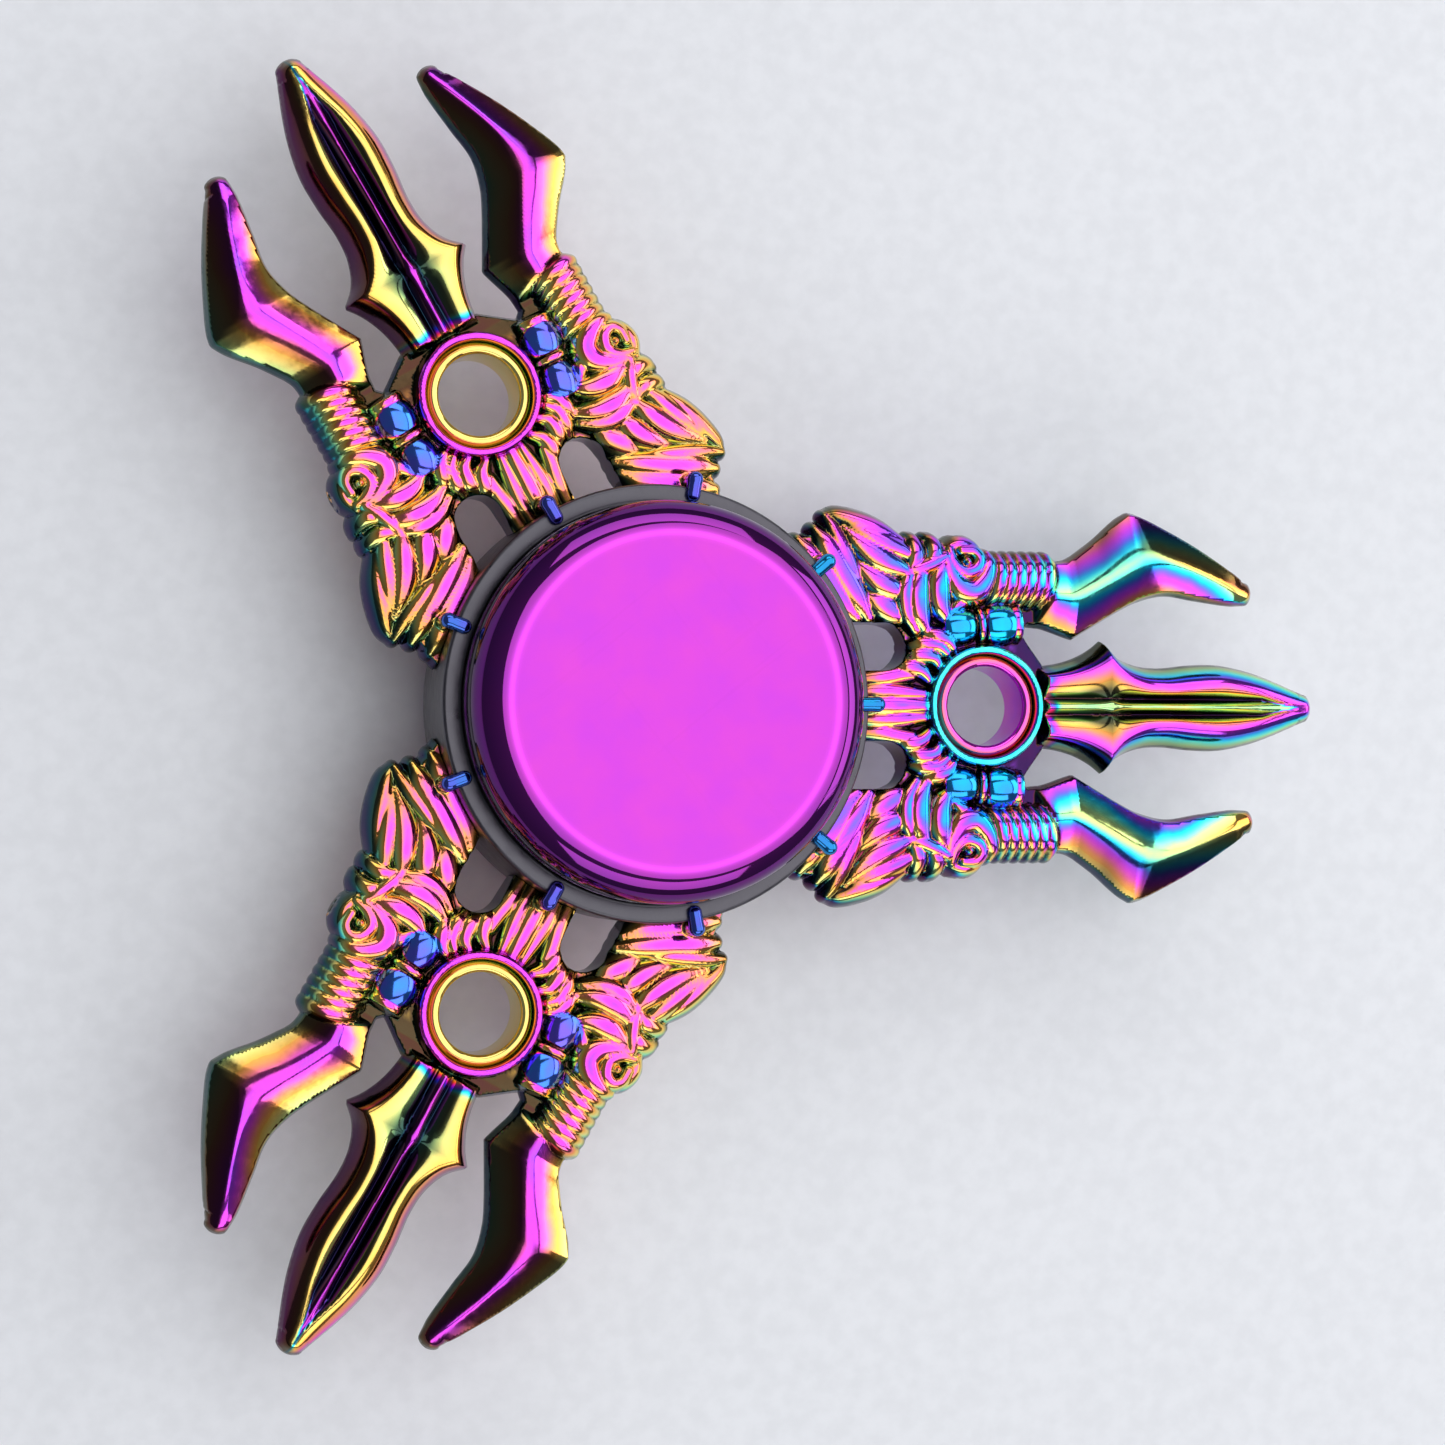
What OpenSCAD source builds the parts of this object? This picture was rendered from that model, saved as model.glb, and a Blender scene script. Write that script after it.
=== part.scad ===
// Three-armed finger spinner: plated blade arms on a ball-bearing hub, held by two turned caps.
// The spin axis is Z, the middle plane is Z = 0 and arm 1 points along +X.

/* [Ball bearing] */
// Outside diameter of the bearing
bearing_d = 22; // [21:0.5:27]
// Bore of the bearing
bearing_bore = 8; // [6.5:0.5:9.5]
// Width of the bearing along the spin axis
bearing_w = 7; // [6:0.5:8.5]
// Diameter of each ball
ball_d = 3.969; // [3.3:0.001:4.4]
// Gap between a ball and each raceway
raceway_gap = 0.02; // [0.01:0.01:0.05]
// Gap between a ball and its cage pocket
pocket_gap = 0.07; // [0.05:0.01:0.1]
// Sheet thickness of the cage and the shields
sheet_t = 0.3; // [0.2:0.05:0.35]

/* [Hub ring] */
// Wall of the ring between the bearing and the arms
hub_wall = 1.1; // [0.9:0.1:2]
// Height of the ring along the spin axis
hub_ring_h = 6; // [5:0.1:6.4]

/* [Caps] */
// Thickness of the whole spinner over both caps
total_t = 14; // [13:0.5:17]
// Diameter of each cap
cap_d = 22; // [20:0.5:26]
// Radius of the rounded shoulder of a cap
cap_shoulder_r = 1.9; // [1.5:0.1:2.2]
// Depth of the finger dish in a cap
dish_depth = 0.5; // [0.3:0.1:1]
// Gap between a cap and the turning bearing face
cap_gap = 0.4; // [0.35:0.05:0.5]
// Diameter of the stud that joins the two caps
stud_d = 3; // [2.5:0.5:4]

/* [Arms] */
// Distance from the hub ring to the middle of the eyelet
neck_len = 7.4; // [6.6:0.2:9]
// Distance from the middle of the eyelet to the spear tip
spear_len = 20.5; // [17:0.5:25]
// Half width of the spear across its barbs
barb_half_w = 3.8; // [3.2:0.1:4.2]
// Half the thickness of the arm's web
web_half_t = 0.9; // [0.7:0.1:1.3]
// Height of the blade ridges above the middle plane
ridge_h = 2; // [1.6:0.1:2.4]
// Hole through the eyelet ring
eyelet_bore = 4.5; // [3.6:0.1:4.8]
// Wall of the eyelet's pressed-in ring
eyelet_ring_t = 0.65; // [0.5:0.05:0.8]
// Half the height of the eyelet's pressed-in ring
eyelet_ring_half_h = 1.7; // [1.4:0.1:2]

/* [Hidden] */
$fn = 96;

arm_count = 3;
ball_count = 7;

// bearing, all radii from the spin axis
bearing_r = bearing_d / 2;
pitch_r = (bearing_d + bearing_bore) / 4;
ball_r = ball_d / 2;
land_rise = 0.73 * ball_r;
inner_land_r = pitch_r - land_rise;
outer_land_r = pitch_r + land_rise;
seat_share = 0.35;
groove_r = 1.04 * ball_r;
groove_shift = groove_r - ball_r - raceway_gap;
shield_seat_r = outer_land_r + seat_share * (bearing_r - outer_land_r);
shield_inset = 0.3;
shield_gap = 0.3;
pocket_r = ball_r + pocket_gap;
cage_half_w = 0.65;
rivet_r = 0.3;
rivet_head_r = 0.5;
rivet_head_h = 0.2;

// hub and caps
hub_r = bearing_r + hub_wall;
half_t = total_t / 2;
cap_r = cap_d / 2;
cap_under_z = bearing_w / 2 + cap_gap;
cap_floor_z = half_t - dish_depth;
crest_r = cap_r - cap_shoulder_r;
lip_r = 0.35;
foot_r = 0.4;
boss_r = (bearing_bore / 2 + inner_land_r) / 2 + 0.6;
spigot_end_z = 0.2;
stud_reach = 1;
stud_half_len = bearing_w / 2 + stud_reach;

// arm, x measured outwards from the hub ring's surface
eyelet_r = eyelet_bore / 2 + eyelet_ring_t;
collar_groove_r = eyelet_r + 0.2;
collar_r = collar_groove_r + 0.48;
collar_half_h = eyelet_ring_half_h + 0.2;
groove_depth = 0.6;
edge_half_t = 0.65;
valley_y = 0.4;
slot_w = 2.7;
slot_mid_y = 3.35;
slot_end_x = 2.8;
claw_angle = 39.4;
claw_r = 0.45;
claw_z = hub_ring_h / 2 + 0.1;
overlap = 0.02;
clear = 1;

// scroll, wound collar and turned baluster on each side of the eyelet
curl_at = [neck_len - 0.9, 8.1];
curl_r = 1.25;
curl_band = 0.5;
curl_half_h = 1.65;
button_r = 0.4;
button_half_h = 1.75;
coil_at = [neck_len + 0.9, 7.05];
coil_r = 1.5;
coil_pitch = 0.58;
coil_rib_t = 0.36;
coil_ribs = 6;
coil_slant = -10;
baluster_at = [neck_len - 0.35, 4.55, 0.65];
baluster_slant = 4;
bead_a_r = 0.9;
bead_b_r = 1.08;
bead_mid = 1.35;
drum_r = 0.6;
fillet_r = 1.02;
fillet_t = 0.4;
curl_post_r = 0.45;

function circle_r(chord, bow) = (chord * chord / 4 + bow * bow) / (2 * bow);

// one arm from its own frame to its place around the hub
module at_arm(k)
    rotate([0, 0, (k - 1) * 360 / arm_count]) translate([hub_r, 0, 0]) children();

module both_sides() {
    children();
    mirror([0, 1, 0]) children();
}

module both_faces() {
    children();
    mirror([0, 0, 1]) children();
}

// disc whose edge passes through p and q, bowed to the left of the line from p to q
module bowed_disc(p, q, bow) {
    chord = norm(q - p);
    r = circle_r(chord, bow);
    left = [p.y - q.y, q.x - p.x] / chord;
    translate((p + q) / 2 + left * (bow - r)) circle(r = r);
}

// pointed leaf between two arcs that share their end points
module leaf(p, q, bow, hollow, half_h) {
    linear_extrude(height = 2 * half_h, center = true)
        difference() {
            bowed_disc(p, q, bow);
            bowed_disc(p, q, hollow);
        }
}

// almond between two arcs that bow to opposite sides of the line from p to q
module almond(p, q, left_bow, right_bow, half_h) {
    linear_extrude(height = 2 * half_h, center = true)
        intersection() {
            bowed_disc(p, q, left_bow);
            bowed_disc(q, p, right_bow);
        }
}

// solid skinned over a row of sections that all have the same number of points
module loft(sections) {
    count = len(sections[0]);
    last = len(sections) - 1;
    sides = [for (n = [0:last - 1], i = [0:count - 1])
        let (j = (i + 1) % count, a = n * count + i, b = n * count + j, c = b + count, d = a + count)
        each [[a, b, c], [a, c, d]]];
    start = [for (i = [count - 1:-1:0]) i];
    end = [for (i = [0:count - 1]) last * count + i];
    polyhedron(points = [for (s = sections) each s], faces = concat(sides, [start, end]));
}

// spear section: share of length, of half width, ridge offset, then ridge, valley and centre heights
spear_sections = [
    [0.16, 0.60, 0.50, 0.85, 0.60, 0.80],
    [0.28, 0.70, 0.62, 0.93, 0.62, 0.85],
    [0.34, 0.87, 0.64, 0.97, 0.70, 0.95],
    [0.37, 1.00, 0.62, 1.00, 0.97, 1.10],
    [0.42, 0.78, 0.52, 0.98, 0.60, 0.92],
    [0.48, 0.62, 0.48, 0.97, 0.50, 0.85],
    [0.56, 0.59, 0.48, 0.97, 0.48, 0.82],
    [0.66, 0.63, 0.52, 0.93, 0.46, 0.78],
    [0.74, 0.62, 0.52, 0.88, 0.44, 0.72],
    [0.83, 0.52, 0.40, 0.72, 0.46, 0.60],
    [0.89, 0.38, 0.26, 0.58, 0.48, 0.52],
    [0.95, 0.22, 0.14, 0.42, 0.40, 0.42],
    [1.00, 0.04, 0.02, 0.20, 0.20, 0.20]];

module spear() {
    loft([for (s = spear_sections)
        let (x = neck_len + s[0] * spear_len, w = s[1] * barb_half_w, r = s[2] * w,
             v = min(valley_y, 0.6 * r), e = min(edge_half_t, 0.6 * s[3] * ridge_h),
             top = [[w, e], [r, s[3] * ridge_h], [v, s[4] * ridge_h], [0, s[5] * ridge_h]],
             half = concat(top, [for (i = [2:-1:0]) [-top[i][0], top[i][1]]]))
        concat([for (p = half) [x, p[0], -p[1]]],
               [for (i = [6:-1:0]) [x, half[i][0], half[i][1]]])]);
}

// horn section: outer edge, ridge and inner edge from the eyelet's middle, then the ridge's height
horn_sections = [
    [[3.9, 8.45], [3.6, 6.4], [3.0, 4.7], 0.80],
    [[5.1, 8.5], [5.3, 6.35], [5.75, 3.9], 0.85],
    [[6.3, 9.1], [6.9, 7.0], [7.1, 4.65], 0.88],
    [[7.7, 10.4], [8.5, 7.95], [8.8, 5.6], 0.90],
    [[9.2, 11.35], [9.7, 8.7], [10.4, 6.35], 0.92],
    [[11.1, 10.75], [11.3, 8.45], [11.8, 6.6], 0.85],
    [[13.5, 9.35], [13.5, 7.75], [13.7, 6.4], 0.68],
    [[15.5, 7.95], [15.5, 6.95], [15.5, 6.15], 0.45],
    [[16.8, 6.65], [16.7, 6.45], [16.6, 6.25], 0.20]];

module horn() {
    loft([for (s = horn_sections)
        let (x = neck_len, h = s[3] * ridge_h, e = min(edge_half_t, 0.6 * h))
        [[x + s[0].x, s[0].y, e], [x + s[0].x, s[0].y, -e], [x + s[1].x, s[1].y, -h],
         [x + s[2].x, s[2].y, -e], [x + s[2].x, s[2].y, e], [x + s[1].x, s[1].y, h]]]);
}

// flat web that carries the wing, the eyelet and the roots of the blades
module web() {
    eye = neck_len;
    linear_extrude(height = 2 * web_half_t, center = true)
        polygon([[-4.4, 9.3], [-1.8, 9.6], [-0.6, 10.4], [2.2, 9.8], [eye - 2.8, 9.4], [eye - 0.6, 9.2],
            [eye + 0.8, 8.6], [eye + 4.6, 8.3], [eye + 5.2, 4.6], [eye + 2.9, 4.8],
            [eye + 2.4, 4.3], [eye + 3.8, 2.4], [eye + 3.8, -2.4], [eye + 2.4, -4.3],
            [eye + 2.9, -4.8], [eye + 5.2, -4.6], [eye + 4.6, -8.3], [eye + 0.8, -8.6],
            [eye - 0.6, -9.2], [eye - 2.8, -9.4], [2.2, -9.8], [-0.6, -10.4], [-1.8, -9.6], [-4.4, -9.3]]);
}

// feather: root, tip and half thickness, x from the hub ring
feathers = [
    [[3.2, 9.4], [-2.1, 11.4], 1.2],
    [[3.2, 8.5], [-1.8, 10.6], 1.4],
    [[3.1, 7.6], [-1.4, 9.7], 1.5],
    [[3.0, 6.7], [-0.9, 8.7], 1.6],
    [[2.8, 5.8], [-0.4, 7.7], 1.5],
    [[2.5, 4.9], [0.2, 6.6], 1.4]];

// quill along the hub ring: root, tip and half thickness
quills = [
    [[1.5, 4.8], [-2.4, 10.7], 1.35],
    [[0.4, 4.8], [-3.4, 10.3], 1.5],
    [[-0.5, 4.9], [-4.3, 9.8], 1.65]];

// feathers that sweep from the mane back round the hub ring
module wing() {
    for (f = feathers) almond(f[1], f[0], 0.5, 0.4, f[2]);
    for (q = quills) leaf(q[1], q[0], 1.15, 0.15, q[2]);
}

// lock of the mane: root, tip, bow and half thickness, x from the eyelet's middle
locks = [
    [[-3.6, 4.1], [-4.2, 9.5], 1.3, 1.7],
    [[-2.8, 4.5], [-3.4, 9.4], 1.25, 1.85],
    [[-2.0, 4.9], [-2.6, 9.3], 1.2, 1.7]];

// locks that rise from the neck and curl over in front of the wing
module mane() {
    translate([neck_len, 0, 0]) for (k = locks) leaf(k[0], k[1], k[2], 0.45, k[3]);
}

// scroll with a round button in it and a comma that laps over it
module volute() {
    translate(curl_at) {
        linear_extrude(height = 2 * curl_half_h, center = true) difference() {
            circle(r = curl_r);
            circle(r = curl_r - curl_band);
        }
        cylinder(r = button_r, h = 2 * button_half_h, center = true);
    }
    almond(curl_at + [-1.6, 0.8], curl_at + [1.1, 0.6], 0.6, 0.1, 1.5);
}

// wound collar between the volute and the horn
module coil() {
    for (i = [0:coil_ribs - 1])
        translate([coil_at.x + coil_pitch * i, coil_at.y, 0]) rotate([0, 0, coil_slant]) rotate([0, 90, 0])
            cylinder(r = coil_r, h = coil_rib_t, center = true);
}

// half of a bead's outline, for turning
module bead_outline(r) {
    intersection() {
        circle(r = r);
        translate([0, -r]) square(2 * r);
    }
}

// turned drum with two beads and two fillets beside the eyelet
module baluster() {
    translate(baluster_at) rotate([0, 0, baluster_slant]) rotate([0, 90, 0]) rotate_extrude() {
        translate([0, -bead_mid]) bead_outline(bead_a_r);
        translate([0, bead_mid]) bead_outline(bead_b_r);
        translate([0, -bead_mid]) square([drum_r, 2 * bead_mid]);
        square([fillet_r, fillet_t]);
        translate([0, bead_mid + bead_b_r]) square([fillet_r, fillet_t]);
    }
}

// ribs and curls along the neck between the slots
module neck_leaves() {
    almond([0, 0], [neck_len - 2.8, 0], 0.45, 0.45, 1.6);
    both_sides() {
        almond([0.2, 0.95], [neck_len - 3.6, 1.55], 0.4, 0.4, 1.45);
        almond([neck_len - 4.6, 1.6], [neck_len - 2.4, 2.9], 0.4, 0.4, 1.6);
        almond([neck_len - 4.4, 3.2], [neck_len - 2.0, 4.0], 0.4, 0.4, 1.5);
        translate([neck_len - 4.4, 2.0, 0]) cylinder(r = curl_post_r, h = 3.1, center = true);
        translate([neck_len - 3.3, 2.9, 0]) cylinder(r = curl_post_r, h = 3.2, center = true);
    }
}

// post beside the hub ring with a round lip that laps the ring's face
module claw(angle) {
    translate([-hub_r, 0, 0]) rotate([0, 0, angle]) {
        translate([hub_r - overlap, -claw_r, 0]) cube([2 * claw_r, 2 * claw_r, claw_z]);
        translate([hub_r - claw_r, 0, claw_z]) rotate([0, 90, 0]) cylinder(r = claw_r, h = 3 * claw_r);
    }
}

module claws() {
    both_faces() for (a = [-claw_angle, 0, claw_angle]) claw(a);
}

// everything on an arm that the hub ring and the holes cut back
module arm_body() {
    web();
    spear();
    neck_leaves();
    translate([neck_len, 0, 0]) cylinder(r = collar_r, h = 2 * collar_half_h, center = true);
    both_sides() {
        horn();
        wing();
        mane();
        volute();
        coil();
        both_faces() baluster();
    }
}

module arm(k) {
    at_arm(k) color("mediumorchid") difference() {
        union() {
            difference() {
                arm_body();
                translate([-hub_r, 0, 0]) cylinder(r = hub_r, h = total_t, center = true);
            }
            difference() {
                claws();
                translate([-hub_r, 0, 0]) cylinder(r = hub_r, h = hub_ring_h, center = true);
            }
        }
        both_sides() linear_extrude(height = total_t, center = true) {
            hull() {
                translate([-slot_end_x, slot_mid_y]) circle(d = slot_w);
                translate([slot_end_x - slot_w / 2, slot_mid_y]) circle(d = slot_w);
            }
        }
        translate([neck_len, 0, 0]) {
            cylinder(r = eyelet_r, h = total_t, center = true);
            both_faces() translate([0, 0, collar_half_h - groove_depth])
                cylinder(r = collar_groove_r, h = half_t);
        }
    }
}

module eyelet_ring(k) {
    rim_r = eyelet_ring_t / 2;
    rim_z = eyelet_ring_half_h - rim_r;
    at_arm(k) translate([neck_len, 0, 0]) color("gold") rotate_extrude()
        translate([eyelet_bore / 2 + rim_r, 0]) {
            square([2 * rim_r, 2 * rim_z], center = true);
            translate([0, rim_z]) circle(r = rim_r);
            translate([0, -rim_z]) circle(r = rim_r);
        }
}

module hub_ring() {
    color("silver") difference() {
        cylinder(r = hub_r, h = hub_ring_h, center = true);
        cylinder(r = bearing_r, h = hub_ring_h + clear, center = true);
    }
}

// groove that the balls run in, as a ring to cut away
module raceway(shift) {
    rotate_extrude() translate([pitch_r + shift, 0]) circle(r = groove_r);
}

module bearing_outer_race() {
    seat_depth = shield_inset + sheet_t;
    color("lightgray") difference() {
        cylinder(r = bearing_r, h = bearing_w, center = true);
        cylinder(r = outer_land_r, h = bearing_w + clear, center = true);
        raceway(-groove_shift);
        both_faces() translate([0, 0, bearing_w / 2 - seat_depth]) cylinder(r = shield_seat_r, h = bearing_w);
    }
}

module bearing_inner_race() {
    color("lightgray") difference() {
        cylinder(r = inner_land_r, h = bearing_w, center = true);
        cylinder(d = bearing_bore, h = bearing_w + clear, center = true);
        raceway(groove_shift);
    }
}

module shield() {
    translate([0, 0, bearing_w / 2 - shield_inset - sheet_t]) difference() {
        cylinder(r = shield_seat_r, h = sheet_t);
        translate([0, 0, -clear]) cylinder(r = inner_land_r + shield_gap, h = sheet_t + 2 * clear);
    }
}

module upper_shield() color("gainsboro") shield();

module lower_shield() color("gainsboro") mirror([0, 0, 1]) shield();

module at_balls(turn = 0) {
    for (k = [0:ball_count - 1])
        rotate([0, 0, (k + turn) * 360 / ball_count]) translate([pitch_r, 0, 0]) children();
}

module ball(k) {
    color("whitesmoke") rotate([0, 0, (k - 1) * 360 / ball_count]) translate([pitch_r, 0, 0])
        sphere(r = ball_r);
}

// pressed strip with a half pocket over each ball and flats between them
module cage_half() {
    difference() {
        intersection() {
            union() {
                cylinder(r = pitch_r + cage_half_w, h = sheet_t);
                at_balls() sphere(r = pocket_r + sheet_t);
            }
            difference() {
                cylinder(r = pitch_r + cage_half_w, h = bearing_w);
                translate([0, 0, -clear]) cylinder(r = pitch_r - cage_half_w, h = bearing_w + 2 * clear);
            }
        }
        at_balls() sphere(r = pocket_r);
        at_balls(0.5) cylinder(r = rivet_r, h = bearing_w, center = true);
    }
}

module cage_upper_half() color("peru") cage_half();

module cage_lower_half() color("peru") mirror([0, 0, 1]) cage_half();

module cage_rivets() {
    color("tan") at_balls(0.5) {
        cylinder(r = rivet_r, h = 2 * sheet_t, center = true);
        both_faces() translate([0, 0, sheet_t]) cylinder(r = rivet_head_r, h = rivet_head_h);
    }
}

// half profile of a cap's head: foot, shoulder, crest lip and dish floor
module cap_head_profile() {
    translate([0, cap_under_z]) square([crest_r, cap_floor_z - cap_under_z]);
    translate([crest_r - lip_r, cap_under_z]) square([lip_r, half_t - lip_r - cap_under_z]);
    translate([crest_r, half_t - lip_r]) circle(r = lip_r);
    translate([crest_r, cap_under_z]) square([cap_r - foot_r - crest_r, foot_r]);
    translate([cap_r - foot_r, cap_under_z + foot_r]) circle(r = foot_r);
    translate([crest_r, cap_under_z + foot_r])
        square([cap_shoulder_r, half_t - cap_shoulder_r - cap_under_z - foot_r]);
    intersection() {
        translate([crest_r, half_t - cap_shoulder_r]) circle(r = cap_shoulder_r);
        translate([crest_r, half_t - cap_shoulder_r]) square(cap_shoulder_r);
    }
}

module cap() {
    difference() {
        union() {
            rotate_extrude() cap_head_profile();
            translate([0, 0, bearing_w / 2]) cylinder(r = boss_r, h = cap_gap);
            translate([0, 0, spigot_end_z]) cylinder(d = bearing_bore, h = cap_under_z - spigot_end_z);
        }
        translate([0, 0, -clear]) cylinder(d = stud_d, h = stud_half_len + clear);
    }
}

module top_cap() color("violet") cap();

module bottom_cap() color("violet") mirror([0, 0, 1]) cap();

module centre_stud() color("dimgray") cylinder(d = stud_d, h = 2 * stud_half_len, center = true);

arm(1);  // arm_1
arm(2);  // arm_2
arm(3);  // arm_3
eyelet_ring(1);  // eyelet_ring_1
eyelet_ring(2);  // eyelet_ring_2
eyelet_ring(3);  // eyelet_ring_3
hub_ring();
bearing_outer_race();
upper_shield();
lower_shield();
bearing_inner_race();
top_cap();
bottom_cap();
centre_stud();
cage_upper_half();
cage_lower_half();
cage_rivets();
ball(1);  // ball_1
ball(2);  // ball_2
ball(3);  // ball_3
ball(4);  // ball_4
ball(5);  // ball_5
ball(6);  // ball_6
ball(7);  // ball_7
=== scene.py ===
import math
import bmesh
import bpy
import numpy as np
from mathutils import Matrix, Vector


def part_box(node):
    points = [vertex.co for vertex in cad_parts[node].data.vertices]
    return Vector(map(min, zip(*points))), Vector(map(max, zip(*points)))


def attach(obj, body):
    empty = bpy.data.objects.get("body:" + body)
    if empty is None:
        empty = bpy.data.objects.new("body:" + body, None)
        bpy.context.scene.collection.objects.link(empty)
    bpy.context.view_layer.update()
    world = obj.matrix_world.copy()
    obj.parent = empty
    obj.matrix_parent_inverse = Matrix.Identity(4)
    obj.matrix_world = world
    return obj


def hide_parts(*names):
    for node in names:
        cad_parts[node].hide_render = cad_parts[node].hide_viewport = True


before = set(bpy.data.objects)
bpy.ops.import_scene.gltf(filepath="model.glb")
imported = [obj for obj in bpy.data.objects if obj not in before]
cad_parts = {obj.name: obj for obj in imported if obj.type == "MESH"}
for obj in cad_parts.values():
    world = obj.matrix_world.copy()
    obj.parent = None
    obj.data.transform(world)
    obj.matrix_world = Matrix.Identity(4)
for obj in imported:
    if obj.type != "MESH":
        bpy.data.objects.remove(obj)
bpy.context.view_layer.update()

mm = 0.001
print("frame loaded:", len(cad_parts), "nodes")

# sizes read off the frame, in mm
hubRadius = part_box("hub_ring")[1].x / mm
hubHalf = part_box("hub_ring")[1].z / mm
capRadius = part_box("top_cap")[1].x / mm
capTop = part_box("top_cap")[1].z / mm
ringLow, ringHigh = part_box("eyelet_ring_1")
eyeX = (ringLow.x + ringHigh.x) / 2 / mm
eyeletRingRadius = (ringHigh.x - ringLow.x) / 2 / mm
eyeletRingHalf = ringHigh.z / mm
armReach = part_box("arm_1")[1].x / mm


def softMax(a, b, blend):
    # the larger of the two, rounded where they nearly meet: weighted mean plus blend times both weights
    share = np.clip(0.5 + 0.5 * (a - b) / blend, 0, 1)
    return b + (a - b) * share + blend * share * (1 - share)


def softMin(a, b, blend):
    # the smaller of the two, rounded in the same way
    return -softMax(-a, -b, blend)


def fadeIn(value, start, run):
    # 0 up to start, then evenly up to 1 over the run
    return np.clip((value - start) / run, 0, 1)


def curveThrough(x, knots, values, corners=()):
    # cubic through the knots with mean slopes; at a corner each side keeps its own slope
    knots, values = np.asarray(knots, float), np.asarray(values, float)
    step = np.diff(values) / np.diff(knots)
    arriving = np.r_[step[0], (step[:-1] + step[1:]) / 2, step[-1]]
    leaving = arriving.copy()
    for c in corners:
        arriving[c], leaving[c] = step[c - 1], step[c]
    i = np.clip(np.searchsorted(knots, x, side="right") - 1, 0, len(knots) - 2)
    width = knots[i + 1] - knots[i]
    t = np.clip((x - knots[i]) / width, 0, 1)
    return ((1 + 2 * t) * (1 - t) ** 2 * values[i] + t * (1 - t) ** 2 * width * leaving[i]
            + t * t * (3 - 2 * t) * values[i + 1] + t * t * (t - 1) * width * arriving[i + 1])


def polygonGap(x, y, corners):
    # distance to the nearest side, negative inside, by the crossing rule
    nearest = np.full(np.broadcast(x, y).shape, 1e9)
    inside = np.zeros(nearest.shape, bool)
    for (ax, ay), (bx, by) in zip(corners, corners[1:] + corners[:1]):
        ex, ey = bx - ax, by - ay
        t = np.clip(((x - ax) * ex + (y - ay) * ey) / (ex * ex + ey * ey), 0, 1)
        nearest = np.minimum(nearest, (x - ax - t * ex) ** 2 + (y - ay - t * ey) ** 2)
        if ay != by:
            inside ^= ((ay > y) != (by > y)) & (x < ax + (y - ay) * ex / ey)
    return np.sqrt(nearest) * np.where(inside, -1, 1)


def strandHeight(x, y, path):
    # a rounded strand: its crest, less fall times (distance over widened half width) to a power
    strand = armShape["strand"]
    path = np.asarray(path, float)
    t = np.linspace(0, len(path) - 1, strand["steps"] * len(path))
    spine = np.stack([curveThrough(t, range(len(path)), path[:, c]) for c in range(4)], 1)
    height = np.full(np.broadcast(x, y).shape, -1.0)
    reach = strand["reach"] * spine[:, 2].max()
    near = ((x > spine[:, 0].min() - reach) & (x < spine[:, 0].max() + reach)
            & (y > spine[:, 1].min() - reach) & (y < spine[:, 1].max() + reach))
    if not near.any():
        return height
    px, py = np.broadcast_to(x, near.shape)[near], np.broadcast_to(y, near.shape)[near]
    a, b = spine[:-1, None], spine[1:, None]
    ex, ey = b[..., 0] - a[..., 0], b[..., 1] - a[..., 1]
    along = np.clip(((px - a[..., 0]) * ex + (py - a[..., 1]) * ey) / (ex * ex + ey * ey), 0, 1)
    gapSquared = (px - a[..., 0] - along * ex) ** 2 + (py - a[..., 1] - along * ey) ** 2
    width = strand["widen"] * np.hypot(a[..., 2] + along * (b[..., 2] - a[..., 2]), strand["blunt"])
    crest = a[..., 3] + along * (b[..., 3] - a[..., 3])
    height[near] = (crest - strand["fall"] * (gapSquared / width ** 2) ** (strand["power"] / 2)).max(0)
    return height


def skinField(field, *axes):
    # one corner for each cell the surface crosses, at the mean of its edge crossings;
    # the corners round each crossed edge are joined into a face
    f = field(axes[0][:, None, None], axes[1][None, :, None], axes[2][None, None, :])
    inside = f < 0
    n = np.array(f.shape) - 1
    count = sum(inside[i:i + n[0], j:j + n[1], k:k + n[2]].astype(np.int8)
                for i in (0, 1) for j in (0, 1) for k in (0, 1))
    cells = np.argwhere((count > 0) & (count < 8))
    number = np.full(n, -1)
    number[tuple(cells.T)] = np.arange(len(cells))
    total, hits = np.zeros((len(cells), 3)), np.zeros(len(cells))
    for axis in range(3):
        for side in range(4):
            offset = np.zeros(3, int)
            offset[(axis + 1) % 3], offset[(axis + 2) % 3] = side & 1, side >> 1
            start = cells + offset
            end = start.copy()
            end[:, axis] += 1
            f0, f1 = f[tuple(start.T)], f[tuple(end.T)]
            cross = (f0 < 0) != (f1 < 0)
            spot = start.astype(float)
            spot[cross, axis] += f0[cross] / (f0[cross] - f1[cross])
            total[cross] += spot[cross]
            hits += cross
    spots = (total / hits[:, None]).T
    corners = np.stack([np.interp(spot, range(len(axis)), axis) for spot, axis in zip(spots, axes)], 1)
    quads = []
    for axis in range(3):
        u, v = (axis + 1) % 3, (axis + 2) % 3
        ahead = np.take(inside, range(1, inside.shape[axis]), axis)
        here = np.take(inside, range(inside.shape[axis] - 1), axis)
        edges = np.argwhere(ahead != here)
        edges = edges[(edges[:, u] > 0) & (edges[:, v] > 0) & (edges[:, u] < n[u]) & (edges[:, v] < n[v])]
        turn = here[tuple(edges.T)]
        ring = []
        for du, dv in ((-1, -1), (0, -1), (0, 0), (-1, 0)):
            cell = edges.copy()
            cell[:, u] += du
            cell[:, v] += dv
            ring.append(number[tuple(cell.T)])
        ring = np.stack(ring, 1)
        quads.append(np.where(turn[:, None], ring, ring[:, ::-1]))
    return corners, np.concatenate(quads)


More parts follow.
